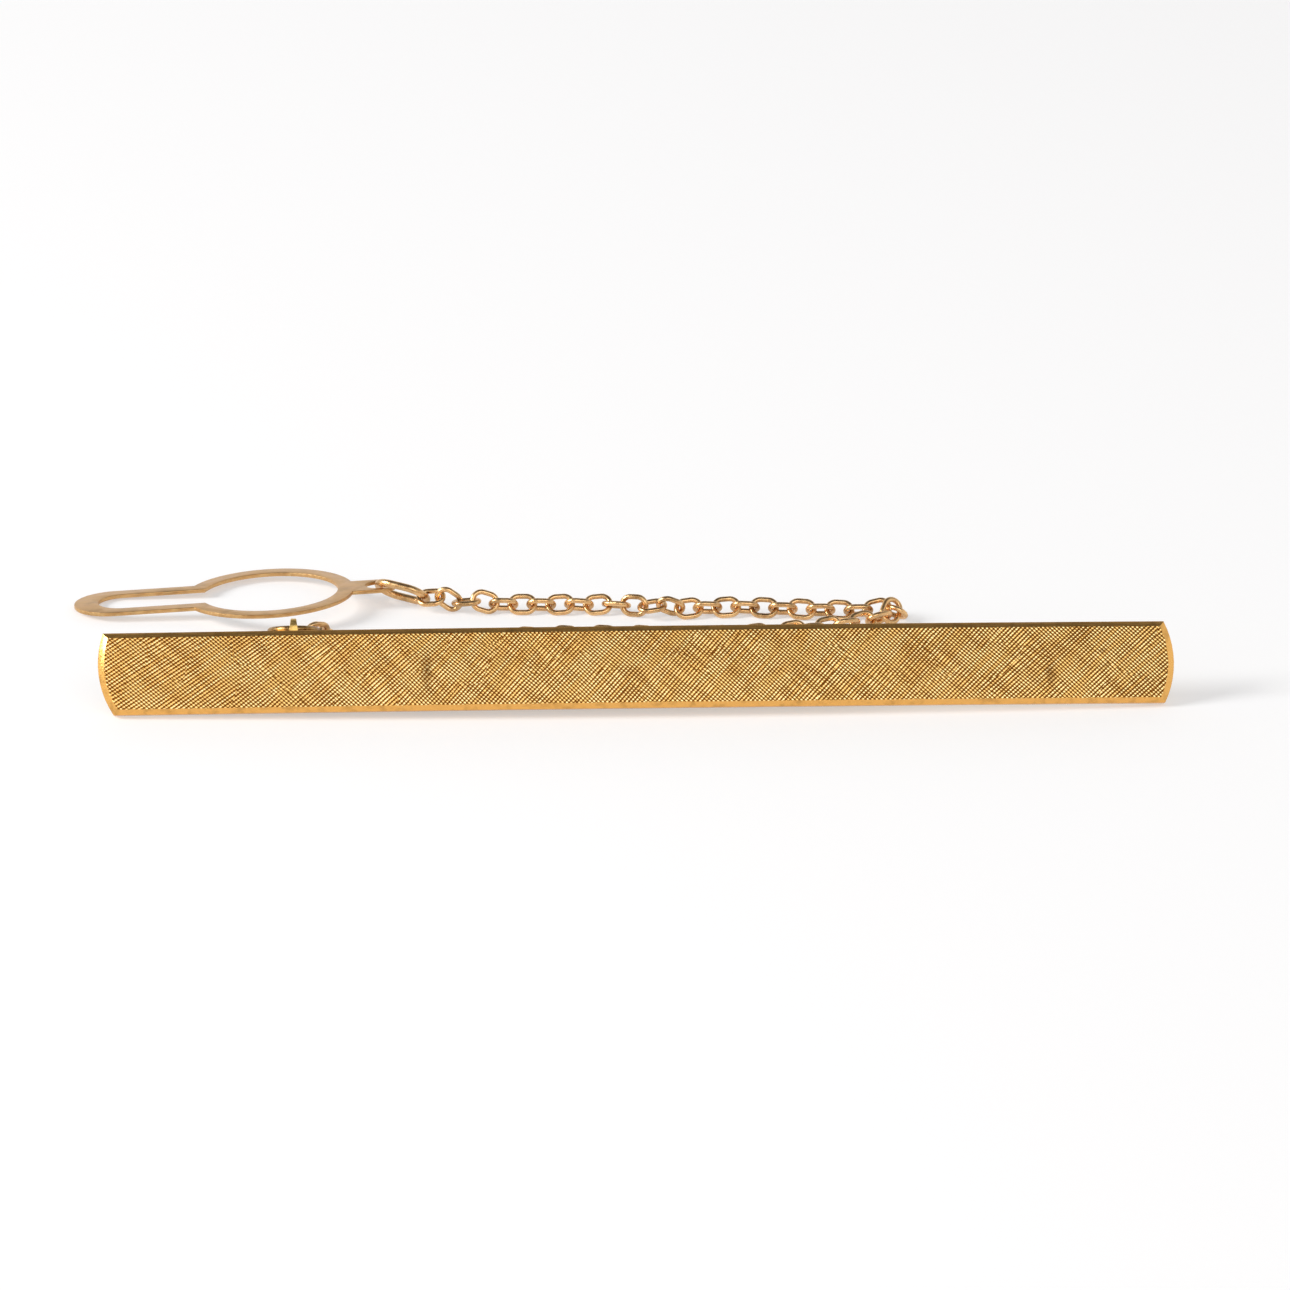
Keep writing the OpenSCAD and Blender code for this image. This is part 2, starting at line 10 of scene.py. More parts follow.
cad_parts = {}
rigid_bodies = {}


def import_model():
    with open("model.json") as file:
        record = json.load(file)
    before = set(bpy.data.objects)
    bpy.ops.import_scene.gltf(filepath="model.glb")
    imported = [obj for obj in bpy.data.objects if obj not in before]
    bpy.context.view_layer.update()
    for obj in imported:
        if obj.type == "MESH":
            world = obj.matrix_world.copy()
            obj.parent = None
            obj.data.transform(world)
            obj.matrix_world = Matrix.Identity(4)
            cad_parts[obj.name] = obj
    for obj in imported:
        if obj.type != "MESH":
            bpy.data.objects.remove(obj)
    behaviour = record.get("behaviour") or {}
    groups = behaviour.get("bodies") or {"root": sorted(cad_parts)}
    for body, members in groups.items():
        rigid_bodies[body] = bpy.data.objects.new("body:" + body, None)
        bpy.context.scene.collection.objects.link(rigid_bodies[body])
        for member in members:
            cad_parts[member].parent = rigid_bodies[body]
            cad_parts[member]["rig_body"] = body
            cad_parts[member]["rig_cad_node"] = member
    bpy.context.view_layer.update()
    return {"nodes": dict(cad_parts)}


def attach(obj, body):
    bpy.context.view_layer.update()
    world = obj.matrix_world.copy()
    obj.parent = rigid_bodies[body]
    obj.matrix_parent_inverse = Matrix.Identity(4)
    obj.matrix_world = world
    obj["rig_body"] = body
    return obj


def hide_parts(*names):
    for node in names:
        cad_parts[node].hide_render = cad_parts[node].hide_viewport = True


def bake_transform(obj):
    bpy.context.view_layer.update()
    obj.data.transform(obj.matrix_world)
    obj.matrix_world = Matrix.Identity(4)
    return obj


bl_info = {
    "name": "Engraved tie bar",
    "version": (1, 0, 0),
    "blender": (4, 5, 0),
    "location": "3D View > Sidebar > Tie bar",
    "description": "Engraves, plates and polishes the tie bar and sets it on a pale table",
    "category": "Object",
}

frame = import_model()
MM = 0.001

# The bar leans back by LEAN and stands on its foot. The part's source gives these places
# and lengths, in millimetres along the bar, behind its face and up its face.
LEAN = math.radians(25.4506)
BAR_FOOT = 1.86574
BAR_HALF_WIDTH = 2.475
HINGE = Vector((-22.6, 2.87453, 0.55))

# The frame's origin in the source, in millimetres: the middle of the whole object's box,
# on the table.
BOX_MIDDLE = Vector((-0.963493, 11.3105, 0))

CHAIN_NODES = [f"chain_links_{i:02d}" for i in range(1, 13)] + ["end_ring"]

# The clip's rigid parts: the CAD node, the piece that stands for it, and its body.
CLIP_PARTS = (
    ("clip_base", "soldered_base", "bar"),
    ("chain_lug", "chain_staple", "bar"),
    ("hinge_pin", "riveted_pin", "bar"),
    ("jaw_lever", "sprung_lever", "jaw"),
)

# Edges that turn by more than this many degrees are rounded.
PLATE_CORNER = 20
CLIP_CORNER = 30
LOOP_CORNER = 40
LOOP_EDGE = 0.00005

# How squarely a polygon of the plate faces forwards to be engraved, or backwards to be satin.
ENGRAVED_FACING = 0.9
BACK_FACING = -0.97

# Cleaning of a CAD mesh before its edges are rounded, and its smooth shading after that.
DOUBLES = 0.0000005
FLAT_ANGLE = math.radians(0.08)
SMOOTH_ANGLE = math.radians(28)
ROUNDING_SEGMENTS = 3

# The spring's wire. Its open ends are found within END_REACH diameters of the end's middle.
WIRE_SIDES = 14
COIL_STEPS = 72
END_REACH = 0.52
WIRE_DOUBLES = 0.000001
WIRE_SMOOTH_ANGLE = math.radians(40)

ALONG = (1, 0, 0)
UP = (0, 0, 1)

# The engraving, in millimetres on the face: the width of a band of strokes, the falling
# lines' pitch as a share of the rising lines', and how far a band's slope strays.
RISING_BAND = 2.6
FALLING_BAND = 3.4
FALLING_PITCH = 0.82
RISING_STRAY = math.radians(1.5)
FALLING_STRAY = 0.05

# A band's ragged edge: the scale of its noise, and how far it goes as a share of the band.
RAGGED_SCALE = 0.35
RAGGED_REACH = 1.2

# Each line's force is read from noise: so far apart from line to line, and so drawn out
# along the line that a stroke fades slowly.
LINE_STEP = 7.31
STROKE_STEP = 0.3

# The rising lines' bends at the bar's ends: two places along the bar, and the turn at each.
LEFT_BEND = (-33.0, -4.0, math.radians(-14), 0.0)
RIGHT_BEND = (14.0, 32.0, 0.0, math.radians(-6))

# Dark marks on the face: places along and up it, and about half their width and height.
MARKS = (
    (-12.7, -0.1, 0.5, 1.6),
    (24.9, -0.6, 0.5, 1.0),
    (28.1, 0.7, 0.35, 0.2),
    (28.3, -0.2, 0.3, 0.15),
)

# Depths of the fine relief that the bumps give, in metres.
POLISH_DEPTH = 0.000004
GRAIN_DEPTH = 0.000003
KNOCK_DEPTH = 0.000012
DRAWN_DEPTH = 0.000004

# A Mix node's sockets for colours: the share and the two colours, and the result.
MIX_INPUTS = (0, 6, 7)
MIX_RESULT = 2

# How a material's nodes are laid out in the editor, in rows from right to left.
NODES_IN_ROW = 8
NODE_WIDTH = 200
NODE_HEIGHT = 260

# The table lies a hair below the object. Where the camera or a reflection sees it, this
# share of its light is its own glow, so that it is white and keeps the shadow.
TABLE_SIZE = 6
TABLE_DROP = 0.00001
TABLE_GLOW = 0.42
FIBRE_COLOUR = (0.85, 0.84, 0.84)
GLOW_COLOUR = (1.0, 0.985, 0.985)
WHITE = (1.0, 1.0, 1.0)

KEY_PLACE, KEY_SIZE = (-0.63, -0.13, 0.37), 0.28
FRONT_PLACE, FRONT_SIZE = (0.15, -0.9, 0.6), 0.7
CAMERA_TARGET = Vector((0.00143727, -0.00995801, 0.0036655))
SENSOR_WIDTH = 36

# The soft light from all round: its colour by the height that it comes from, 1 overhead.
SKY = (
    (0.0, (1.0, 1.0, 1.0)),
    (0.35, (1.0, 1.0, 1.0)),
    (0.6, (0.6, 0.6, 0.6)),
    (0.8, (0.2, 0.2, 0.2)),
    (1.0, (0.12, 0.12, 0.13)),
)

# Below this share a screen colour is linear.
SCREEN_TOE = 0.04045


def linear(red, green, blue):
    """A colour read from a screen, 0 to 255, as the linear shares that a shader takes."""
    shares = (red / 255, green / 255, blue / 255)
    return tuple(s / 12.92 if s < SCREEN_TOE else ((s + 0.055) / 1.055) ** 2.4 for s in shares)


def bar_direction(x, behind, up):
    """A direction along, behind and up the bar, as a direction in the frame."""
    return Matrix.Rotation(-LEAN, 3, "X") @ Vector((x, behind, up))


def on_bar(x, behind, up):
    """A place on the bar, in millimetres, as a place in the frame, in metres."""
    return (bar_direction(x, behind - BAR_FOOT, up + BAR_HALF_WIDTH) - BOX_MIDDLE) * MM


class TieBarPlating(bpy.types.PropertyGroup):
    """Colours of the plating and how it is polished."""

    # Ridge colour: a painted highlight. Bright gold is laid on the crests of the engraved lines,
    # and streaked along the grain of the satin parts.
    ridge: FloatVectorProperty(
        name="Engraved ridges", description="Bright gold on the ridges between the cuts",
        subtype="COLOR", min=0, max=1, default=linear(255, 245, 186))
    face: FloatVectorProperty(
        name="Engraved face", description="Gold between the ridges and the cuts",
        subtype="COLOR", min=0, max=1, default=linear(251, 194, 103))
    # Cut colour: painted shade, dark gold laid in the bottoms of the engraved cuts.
    cut: FloatVectorProperty(
        name="Engraved cuts", description="Toned gold in the bottom of the cuts",
        subtype="COLOR", min=0, max=1, default=linear(112, 61, 11))
    bevel: FloatVectorProperty(
        name="Polished bevels", description="Gold on the polished bevels and edges",
        subtype="COLOR", min=0, max=1, default=linear(236, 180, 100))
    clip: FloatVectorProperty(
        name="Clip", description="Gold on the clip behind the plate",
        subtype="COLOR", min=0, max=1, default=linear(226, 184, 104))
    clip_edge: FloatProperty(
        name="Clip edges", description="Width by which tumbling has rounded the clip's edges",
        subtype="DISTANCE", unit="LENGTH", min=0, max=0.0001, default=0.000025, precision=6)
    chain: FloatVectorProperty(
        name="Chain", description="Gold on the chain's wire",
        subtype="COLOR", min=0, max=1, default=linear(226, 180, 126))
    loop: FloatVectorProperty(
        name="Button loop", description="Paler gold on the stamped loop",
        subtype="COLOR", min=0, max=1, default=linear(206, 160, 106))
    # Ring colour: painted shade, darker gold on the ring behind the plate's top edge, which lies
    # in shade.
    ring: FloatVectorProperty(
        name="Lug ring", description="Darkened gold of the ring that the chain hangs from",
        subtype="COLOR", min=0, max=1, default=linear(150, 108, 58))
    toned: FloatVectorProperty(
        name="Toning", description="Brown that gathers in corners and scratches",
        subtype="COLOR", min=0, max=1, default=linear(96, 58, 22))
    steel: FloatVectorProperty(
        name="Spring steel", description="Bare wire of the spring",
        subtype="COLOR", min=0, max=1, default=linear(176, 176, 180))
    tarnish: FloatVectorProperty(
        name="Tarnished steel", description="Duller patches on the spring's wire",
        subtype="COLOR", min=0, max=1, default=linear(110, 104, 100))


class TieBarEngraving(bpy.types.PropertyGroup):
    """The cross-hatched engraving of the plate's face."""

    pitch: FloatProperty(
        name="Line pitch",
        description="Distance from one engraved line to the next, in millimetres",
        min=0.1, max=0.5, default=0.205)
    rising: FloatProperty(
        name="Rising lines",
        description="Slope of the main lines in the bar's middle, which rise to the right",
        subtype="ANGLE", unit="ROTATION", default=math.radians(47))
    falling: FloatProperty(
        name="Falling lines", description="Slope of the finer lines, which fall to the right",
        subtype="ANGLE", unit="ROTATION", default=math.radians(-41))
    depth: FloatProperty(
        name="Depth", description="Depth of the deepest cuts",
        subtype="DISTANCE", unit="LENGTH", min=0, max=0.0001, default=0.00003, precision=6)
    edge: FloatProperty(
        name="Edge rounding", description="Width by which polishing has rounded the edges",
        subtype="DISTANCE", unit="LENGTH", min=0, max=0.0002, default=0.00007, precision=6)


class TieBarSpring(bpy.types.PropertyGroup):
    """The torsion spring on the hinge."""

    wire: FloatProperty(
        name="Wire", description="Diameter of the spring's wire",
        subtype="DISTANCE", unit="LENGTH", default=0.0003, precision=5)
    coil: FloatProperty(
        name="Coil", description="Radius of the coil to the middle of its wire",
        subtype="DISTANCE", unit="LENGTH", default=0.00065, precision=5)
    pitch: FloatProperty(
        name="Pitch", description="Rise of the coil in one turn",
        subtype="DISTANCE", unit="LENGTH", default=0.00072, precision=5)
    turn: FloatProperty(
        name="Turns", description="Angle through which the wire is wound",
        subtype="ANGLE", unit="ROTATION", default=math.radians(894.5))
    leg: FloatProperty(
        name="Legs", description="Length of each straight leg",
        subtype="DISTANCE", unit="LENGTH", default=0.0044, precision=5)


class TieBarStudio(bpy.types.PropertyGroup):
    """Camera, lamps and table."""

    azimuth: FloatProperty(
        name="Camera turn", description="Turn of the camera round the object from the front",
        subtype="ANGLE", unit="ROTATION", default=math.radians(-2.7694))
    elevation: FloatProperty(
        name="Camera height", description="Angle of the camera above the table",
        subtype="ANGLE", unit="ROTATION", default=math.radians(20.5456))
    distance: FloatProperty(
        name="Camera distance",
        description="Distance from the camera to the point that it looks at",
        subtype="DISTANCE", unit="LENGTH", default=0.449129)
    lens: FloatProperty(
        name="Lens", description="Focal length in millimetres on a sensor 36 mm wide",
        default=207.694)
    roll: FloatProperty(
        name="Camera roll", description="Turn of the camera round its own axis",
        subtype="ANGLE", unit="ROTATION", default=math.radians(0.3006))
    table: FloatVectorProperty(
        name="Table", description="Colour of the table",
        subtype="COLOR", min=0, max=1, default=(0.95, 0.945, 0.945))
    key: FloatProperty(
        name="Key lamp", description="Power of the soft lamp at the left",
        subtype="POWER", unit="POWER", default=5.0)
    front: FloatProperty(
        name="Front lamp", description="Power of the large soft lamp in front",
        subtype="POWER", unit="POWER", default=2.2)


class Finish:
    """A new material whose nodes are added one call at a time."""

    def __init__(self, name):
        self.material = bpy.data.materials.new(name)
        self.material.use_nodes = True
        self.nodes = self.material.node_tree.nodes
        self.links = self.material.node_tree.links
        self.shader = self.nodes["Principled BSDF"]

    def add(self, kind, settings=None, **inputs):
        """A new node with its settings, and with values on inputs that have one-word names."""
        new = self.nodes.new("ShaderNode" + kind)
        row, column = divmod(len(self.nodes), NODES_IN_ROW)
        new.location = (-NODE_WIDTH * (column + 1), -NODE_HEIGHT * row)
        for key, value in (settings or {}).items():
            setattr(new, key, value)
        for key, value in inputs.items():
            self.put(new.inputs[key], value)
        return new

    def put(self, socket, value):
        """Links another node's output to a socket, or sets the value on it."""
        if isinstance(value, bpy.types.NodeSocket):
            self.links.new(value, socket)
        elif socket.type == "RGBA":
            socket.default_value = (*value, 1.0)
        else:
            socket.default_value = value

    def calc(self, operation, *values):
        new = self.add("Math", {"operation": operation})
        for socket, value in zip(new.inputs, values):
            self.put(socket, value)
        return new.outputs[0]

    def plus(self, first, second):
        return self.calc("ADD", first, second)

    def minus(self, first, second):
        return self.calc("SUBTRACT", first, second)

    def times(self, first, second):
        return self.calc("MULTIPLY", first, second)

    def over(self, first, second):
        return self.calc("DIVIDE", first, second)

    def span(self, value, low, high, to_low=0.0, to_high=1.0, smooth=True):
        """A value between low and high, carried over to to_low and to_high."""
        new = self.add("MapRange", {"interpolation_type": "SMOOTHSTEP" if smooth else "LINEAR"})
        ends = (("From Min", low), ("From Max", high), ("To Min", to_low), ("To Max", to_high))
        for key, number in (("Value", value), *ends):
            self.put(new.inputs[key], number)
        return new.outputs[0]

    def between(self, share, low, high, smooth=True):
        """Low where the share is 0, high where it is 1."""
        return self.span(share, 0.0, 1.0, low, high, smooth)

    def dot(self, place, direction):
        return self.vector("DOT_PRODUCT", place, direction)["Value"]

    def stretch(self, place, shares):
        return self.vector("MULTIPLY", place, shares)["Vector"]

    def vector(self, operation, first, second):
        new = self.add("VectorMath", {"operation": operation})
        self.put(new.inputs[0], first)
        self.put(new.inputs[1], second)
        return new.outputs

    def blend(self, share, first, second):
        """The first colour where the share is 0, the second where it is 1."""
        new = self.add("Mix", {"data_type": "RGBA"})
        for index, value in zip(MIX_INPUTS, (share, first, second)):
            self.put(new.inputs[index], value)
        return new.outputs[MIX_RESULT]

    def noise(self, place, scale, detail=3.0):
        return self.add("TexNoise", Vector=place, Scale=scale, Detail=detail).outputs["Fac"]

    def join(self, x, y, z):
        return self.add("CombineXYZ", X=x, Y=y, Z=z).outputs[0]

    def millimetres(self, on_the_bar=False):
        """Places on the object in millimetres, or else along, behind and up the bar."""
        coordinates = self.add("TexCoord").outputs["Object"]
        mapping = self.add("Mapping", Vector=coordinates, Scale=(1000, 1000, 1000))
        if on_the_bar:
            middle = Matrix.Rotation(LEAN, 3, "X") @ BOX_MIDDLE
            self.put(mapping.inputs["Rotation"], (LEAN, 0, 0))
            self.put(mapping.inputs["Location"], middle + Vector((0, BAR_FOOT, -BAR_HALF_WIDTH)))
        return mapping.outputs[0]

    def bump(self, height, depth, over=None):
        new = self.add("Bump", Height=height, Distance=depth, Strength=1.0)
        if over is not None:
            self.put(new.inputs["Normal"], over)
        return new.outputs[0]

    def metal(self, colour, roughness, normal):
        """The material, with its shader set as metal."""
        self.put(self.shader.inputs["Base Color"], colour)
        self.put(self.shader.inputs["Roughness"], roughness)
        self.put(self.shader.inputs["Metallic"], 1.0)
        self.put(self.shader.inputs["Normal"], normal)
        return self.material


def stroke_bands(finish, place, slope, width, seed):
    """Bands of strokes cut one after another: each one's number, and a random share of its own."""
    ragged = finish.times(finish.noise(place, RAGGED_SCALE, detail=1.0), RAGGED_REACH)
    across = finish.dot(place, (math.sin(slope) / width, 0, -math.cos(slope) / width))
    number = finish.calc("FLOOR", finish.plus(across, ragged))
    own = finish.add("TexWhiteNoise", {"noise_dimensions": "1D"}, W=finish.plus(number, seed))
    return number, own.outputs["Value"]


def rising_slope(finish, place, engraving):
    """The rising lines' slope, which eases towards the bar's ends and strays from band to band."""
    number, own = stroke_bands(finish, place, engraving.rising, RISING_BAND, seed=5.0)
    band_x = finish.times(number, RISING_BAND / math.sin(engraving.rising))
    bend = finish.plus(finish.span(band_x, *LEFT_BEND), finish.span(band_x, *RIGHT_BEND))
    stray = finish.between(own, -RISING_STRAY, RISING_STRAY, smooth=False)
    return finish.plus(bend, finish.plus(stray, engraving.rising))


def falling_slope(finish, place, engraving):
    """The falling lines' slope, which strays from band to band."""
    own = stroke_bands(finish, place, engraving.falling, FALLING_BAND, seed=17.0)[1]
    low, high = engraving.falling - FALLING_STRAY, engraving.falling + FALLING_STRAY
    return finish.between(own, low, high, smooth=False)


def engraved_lines(finish, place, pitch, slope, seed):
    """Straight lines at a slope that a node gives: the ridges between them, and their force."""
    sine, cosine = finish.calc("SINE", slope), finish.calc("COSINE", slope)
    x, up = finish.dot(place, ALONG), finish.dot(place, UP)
    across = finish.minus(finish.times(up, cosine), finish.times(x, sine))
    along = finish.plus(finish.times(up, sine), finish.times(x, cosine))
    across = finish.over(finish.plus(across, seed), pitch)
    line = finish.calc("FLOOR", across)
    ridge = finish.calc("SINE", finish.times(finish.calc("FRACT", across), math.pi))
    stroke = finish.join(finish.times(line, LINE_STEP), finish.times(along, STROKE_STEP), seed)
    force = finish.span(finish.noise(stroke, 1.0, detail=1.0), 0.34, 0.66)
    return ridge, force


def dark_mark(finish, place, x, up, half_width, half_height):
    """The share of toning in one ragged mark on the face."""
    off_x = finish.over(finish.plus(finish.dot(place, ALONG), -x), half_width)
    off_up = finish.over(finish.plus(finish.dot(place, UP), -up), half_height)
    squares = finish.plus(finish.calc("POWER", off_x, 2.0), finish.calc("POWER", off_up, 2.0))
    ragged = finish.plus(finish.calc("SQRT", squares), finish.noise(place, 2.2, detail=2.0))
    return finish.span(ragged, 0.7, 1.5, 0.45, 0.0)


def engraved_gold(plating, engraving):
    """The face: bands of fine lines that rise to the right, crossed by finer ones that fall."""
    finish = Finish("engraved_gold")
    place = finish.millimetres(on_the_bar=True)
    slope = rising_slope(finish, place, engraving)
    rise, rise_force = engraved_lines(finish, place, engraving.pitch, slope, seed=3.0)
    slope = falling_slope(finish, place, engraving)
    finer = engraving.pitch * FALLING_PITCH
    fall, fall_force = engraved_lines(finish, place, finer, slope, seed=11.0)
    patch = finish.span(finish.noise(place, 0.5, detail=2.0), 0.36, 0.62)
    rise_depth = finish.between(patch, 0.55, 1.0)
    fall_depth = finish.between(finish.times(patch, fall_force), 0.75, 0.3)
    rise_cut = finish.times(finish.minus(1.0, rise), rise_depth)
    fall_cut = finish.times(finish.minus(1.0, fall), fall_depth)
    height = finish.minus(1.0, finish.calc("MINIMUM", finish.plus(rise_cut, fall_cut), 1.0))
    # Painted shade in the cuts: the low parts of the relief go to the dark cut gold, with random
    # toning mixed in.
    cloud = finish.span(finish.noise(place, 0.6), 0.3, 0.7, 0.0, 0.25)
    bottom = finish.blend(cloud, plating.cut, plating.toned)
    colour = finish.blend(finish.span(height, 0.25, 0.75), bottom, plating.face)
    # Painted highlight: the crests of the strongest rising lines go towards the bright ridge gold.
    painted_crest_highlight = finish.times(finish.span(height, 0.6, 1.0), finish.between(rise_force, 0.35, 1.0))
    colour = finish.blend(painted_crest_highlight, colour, plating.ridge)
    for mark in MARKS:
        colour = finish.blend(dark_mark(finish, place, *mark), colour, plating.toned)
    roughness = finish.between(height, 0.5, 0.34)
    return finish.metal(colour, roughness, finish.bump(height, engraving.depth))


def polished_gold(plating):
    """The plate's bevels, polished along the bar and a little worn."""
    finish = Finish("polished_gold")
    place = finish.millimetres(on_the_bar=True)
    lines = finish.noise(finish.stretch(place, (0.35, 6.0, 6.0)), 2.0)
    wear = finish.span(finish.noise(place, 1.6), 0.45, 0.75, 0.0, 0.3)
    colour = finish.blend(wear, plating.bevel, plating.toned)
    roughness = finish.span(lines, 0.3, 0.7, 0.16, 0.34)
    return finish.metal(colour, roughness, finish.bump(lines, POLISH_DEPTH))


def satin_gold(name, colour, plating, grain=(1.0, 1.0, 1.0), rough=(0.28, 0.45), toning=0.5):
    """Stamped sheet or wire: satin grain with painted sheen along it, soft toning and small
    knocks.
    """
    finish = Finish(name)
    place = finish.millimetres()
    lines = finish.noise(finish.stretch(place, grain), 4.0)
    patches = finish.span(finish.noise(place, 0.9), 0.42, 0.72, 0.0, toning)
    toning_and_painted_sheen = finish.blend(patches, colour, plating.toned)
    # Painted sheen: the grain lines are drawn up to a fifth of the way towards the bright
    # highlight gold.
    toning_and_painted_sheen = finish.blend(finish.span(lines, 0.35, 0.75, 0.0, 0.2), toning_and_painted_sheen, plating.ridge)
    roughness = finish.span(lines, 0.3, 0.7, *rough)
    knocks = finish.bump(finish.noise(place, 2.4, detail=2.0), KNOCK_DEPTH)
    return finish.metal(toning_and_painted_sheen, roughness, finish.bump(lines, GRAIN_DEPTH, knocks))


def spring_steel(plating):
    """The spring's drawn wire, with duller patches."""
    finish = Finish("spring_steel")
    drawn = finish.noise(finish.millimetres(), 3.0)
    dull = finish.span(drawn, 0.4, 0.7, 0.0, 0.4)
    colour = finish.blend(dull, plating.steel, plating.tarnish)
    roughness = finish.span(drawn, 0.3, 0.7, 0.25, 0.42)
    return finish.metal(colour, roughness, finish.bump(drawn, DRAWN_DEPTH))


def table_paper(colour):
    """Pale matt paper that glows where it is seen, and still takes the object's shadow."""
    finish = Finish("table_paper")
    path = finish.add("LightPath").outputs
    seen = finish.calc("MAXIMUM", path["Is Camera Ray"], path["Is Glossy Ray"])
    seen = finish.calc("MAXIMUM", seen, path["Is Transmission Ray"])
    fibres = finish.span(finish.noise(finish.millimetres(), 0.8), 0.3, 0.7, 0.0, 0.04)
    paper = finish.blend(fibres, colour, FIBRE_COLOUR)
    paper = finish.blend(path["Is Camera Ray"], paper, WHITE)
    finish.put(finish.shader.inputs["Base Color"], paper)
    finish.put(finish.shader.inputs["Roughness"], 0.9)
    finish.put(finish.shader.inputs["Specular IOR Level"], 0.1)
    glow = finish.add("Emission", Color=GLOW_COLOUR, Strength=1.0)
    mixed = finish.add("MixShader")
    parts = (finish.times(seen, TABLE_GLOW), finish.shader.outputs[0], glow.outputs[0])
    for socket, part in zip(mixed.inputs, parts):
        finish.put(socket, part)
    finish.put(finish.nodes["Material Output"].inputs["Surface"], mixed.outputs[0])
    return finish.material


def only(obj):
    """Deselects everything, then selects and activates one object."""
    if bpy.context.object is not None and bpy.context.object.mode != "OBJECT":
        bpy.ops.object.mode_set(mode="OBJECT")
    bpy.ops.object.select_all(action="DESELECT")
    obj.select_set(True)
    bpy.context.view_layer.objects.active = obj


def rounded_copy(node, name, edge, corner):
    """A copy of a CAD node whose sharp edges are rounded, which stands for that node."""
    source = frame["nodes"][node]
    piece = source.copy()
    piece.data = source.data.copy()
    piece.parent = None
    piece.name = piece.data.name = name
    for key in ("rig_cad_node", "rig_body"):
        if key in piece:
            del piece[key]
    bpy.context.scene.collection.objects.link(piece)
    only(piece)
    bpy.ops.mesh.customdata_custom_splitnormals_clear()
    bpy.ops.object.mode_set(mode="EDIT")
    bpy.ops.mesh.select_all(action="SELECT")
    bpy.ops.mesh.remove_doubles(threshold=DOUBLES)
    bpy.ops.mesh.dissolve_limited(angle_limit=FLAT_ANGLE)
    bpy.ops.object.mode_set(mode="OBJECT")
    rounding = piece.modifiers.new("rounding", "BEVEL")
    rounding.limit_method = "ANGLE"
    rounding.angle_limit = math.radians(corner)
    rounding.width = edge
    rounding.segments = ROUNDING_SEGMENTS
    rounding.use_clamp_overlap = True
    bpy.ops.object.modifier_apply(modifier=rounding.name)
    bpy.ops.object.shade_smooth_by_angle(angle=SMOOTH_ANGLE)
    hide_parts(node)
    return piece


def dress(obj, *materials):
    """Gives an object these materials in place of the ones it has."""
    obj.data.materials.clear()
    for material in materials:
        obj.data.materials.append(material)


class TIEBAR_OT_plate(bpy.types.Operator):
    """Rounds the plate's edges, engraves its face and polishes its bevels"""

    bl_idname = "tiebar.plate"
    bl_label = "Engraved plate"

    def execute(self, context):
        plating, engraving = context.scene.tiebar_plating, context.scene.tiebar_engraving
        plate = rounded_copy("face_bar", "engraved_plate", engraving.edge, PLATE_CORNER)
        back = satin_gold(
            "plate_back_gold", plating.clip, plating, grain=(0.3, 3.0, 3.0), toning=0.22)
        dress(plate, engraved_gold(plating, engraving), polished_gold(plating), back)
        engraved, polished, satin = range(3)
        out = bar_direction(0, -1, 0)
        for face in plate.data.polygons:
            facing = face.normal.dot(out)
            if facing > ENGRAVED_FACING:
                face.material_index = engraved
            elif facing < BACK_FACING:
                face.material_index = satin
            else:
                face.material_index = polished
        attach(plate, "bar")
        return {"FINISHED"}


class TIEBAR_OT_clip(bpy.types.Operator):
    """Rounds and plates the stamped parts of the clip behind the plate"""

    bl_idname = "tiebar.clip"
    bl_label = "Clip"

    def execute(self, context):
        plating = context.scene.tiebar_plating
        gold = satin_gold("clip_gold", plating.clip, plating, grain=(0.4, 3.0, 3.0), toning=0.22)
        for node, name, body in CLIP_PARTS:
            part = rounded_copy(node, name, plating.clip_edge, CLIP_CORNER)
            dress(part, gold)
            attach(part, body)
        return {"FINISHED"}


